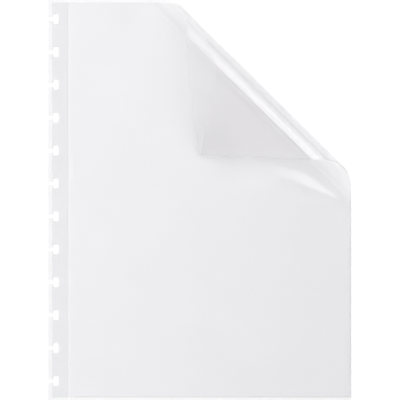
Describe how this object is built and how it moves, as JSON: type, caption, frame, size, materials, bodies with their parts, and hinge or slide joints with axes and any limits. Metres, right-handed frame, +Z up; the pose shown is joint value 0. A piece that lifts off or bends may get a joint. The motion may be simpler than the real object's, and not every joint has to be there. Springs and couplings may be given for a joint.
{
  "type": "sheet protector",
  "caption": "Clear top-loading sheet protector with a mushroom-notched edge for disc binding, welded film pocket and one corner rolled over to show the open mouth.",
  "frame": {"origin": "middle of the sheet's outline, on the underside of the back film", "axes": "+X from the punched edge across the pocket, +Y towards the open mouth, +Z up from the table"},
  "size_m": [0.234, 0.3088, 0.03],
  "materials": {
    "back_film": "translucent polypropylene film, faintly embossed",
    "front_film": "clear polypropylene film, smooth",
    "weld_line": "fused film, finely ribbed"
  },
  "bodies": {
    "binding": {"back_film_binding": "back_film", "front_film_binding": "front_film"},
    "pocket": {"back_film_pocket": "back_film", "front_film_pocket": "front_film", "spine_weld": "weld_line", "bottom_weld": "weld_line", "side_weld_pocket": "weld_line", "back_film_curl_1": "back_film", "front_film_curl_1": "front_film", "side_weld_curl_1": "weld_line"},
    "curl_2": {"back_film_curl_2": "back_film", "front_film_curl_2": "front_film", "side_weld_curl_2": "weld_line"},
    "curl_3": {"back_film_curl_3": "back_film", "front_film_curl_3": "front_film", "side_weld_curl_3": "weld_line"},
    "curl_4": {"back_film_curl_4": "back_film", "front_film_curl_4": "front_film", "side_weld_curl_4": "weld_line"},
    "curl_5": {"back_film_curl_5": "back_film", "front_film_curl_5": "front_film", "side_weld_curl_5": "weld_line"},
    "curl_6": {"back_film_curl_6": "back_film", "front_film_curl_6": "front_film", "side_weld_curl_6": "weld_line"},
    "corner": {"back_film_curl_7": "back_film", "front_film_curl_7": "front_film", "side_weld_curl_7": "weld_line", "back_film_corner": "back_film", "front_film_corner": "front_film", "side_weld_corner": "weld_line"}
  },
  "joints": [
    {"name": "leaf_turn", "type": "hinge", "parent": "binding", "child": "pocket", "pos_m": [-0.1017, 0, 0.00044], "axis": [0, -1, 0], "range_deg": [0, 150]},
    {"name": "corner_roll_1", "type": "hinge", "parent": "pocket", "child": "curl_2", "pos_m": [0.04193, 0.07841, 0.00069], "axis": [-0.7114, 0.7028, 0], "range_deg": [0, 34.78]},
    {"name": "corner_roll_2", "type": "hinge", "parent": "curl_2", "child": "curl_3", "pos_m": [0.04711, 0.08365, 0.0058], "axis": [-0.7114, 0.7028, 0], "range_deg": [0, 34.78]},
    {"name": "corner_roll_3", "type": "hinge", "parent": "curl_3", "child": "curl_4", "pos_m": [0.04931, 0.08588, 0.0142], "axis": [-0.7114, 0.7028, 0], "range_deg": [0, 34.78]},
    {"name": "corner_roll_4", "type": "hinge", "parent": "curl_4", "child": "curl_5", "pos_m": [0.04775, 0.08429, 0.02289], "axis": [-0.7114, 0.7028, 0], "range_deg": [0, 34.78]},
    {"name": "corner_roll_5", "type": "hinge", "parent": "curl_5", "child": "curl_6", "pos_m": [0.04298, 0.07947, 0.02876], "axis": [-0.7114, 0.7028, 0], "range_deg": [0, 34.78]},
    {"name": "corner_roll_6", "type": "hinge", "parent": "curl_6", "child": "corner", "pos_m": [0.03671, 0.07313, 0.02971], "axis": [-0.7114, 0.7028, 0], "range_deg": [0, 34.78]}
  ],
  "couplings": [
    {"joint": "corner_roll_2", "follows": "corner_roll_1", "ratio": 1},
    {"joint": "corner_roll_3", "follows": "corner_roll_1", "ratio": 1},
    {"joint": "corner_roll_4", "follows": "corner_roll_1", "ratio": 1},
    {"joint": "corner_roll_5", "follows": "corner_roll_1", "ratio": 1},
    {"joint": "corner_roll_6", "follows": "corner_roll_1", "ratio": 1}
  ]
}
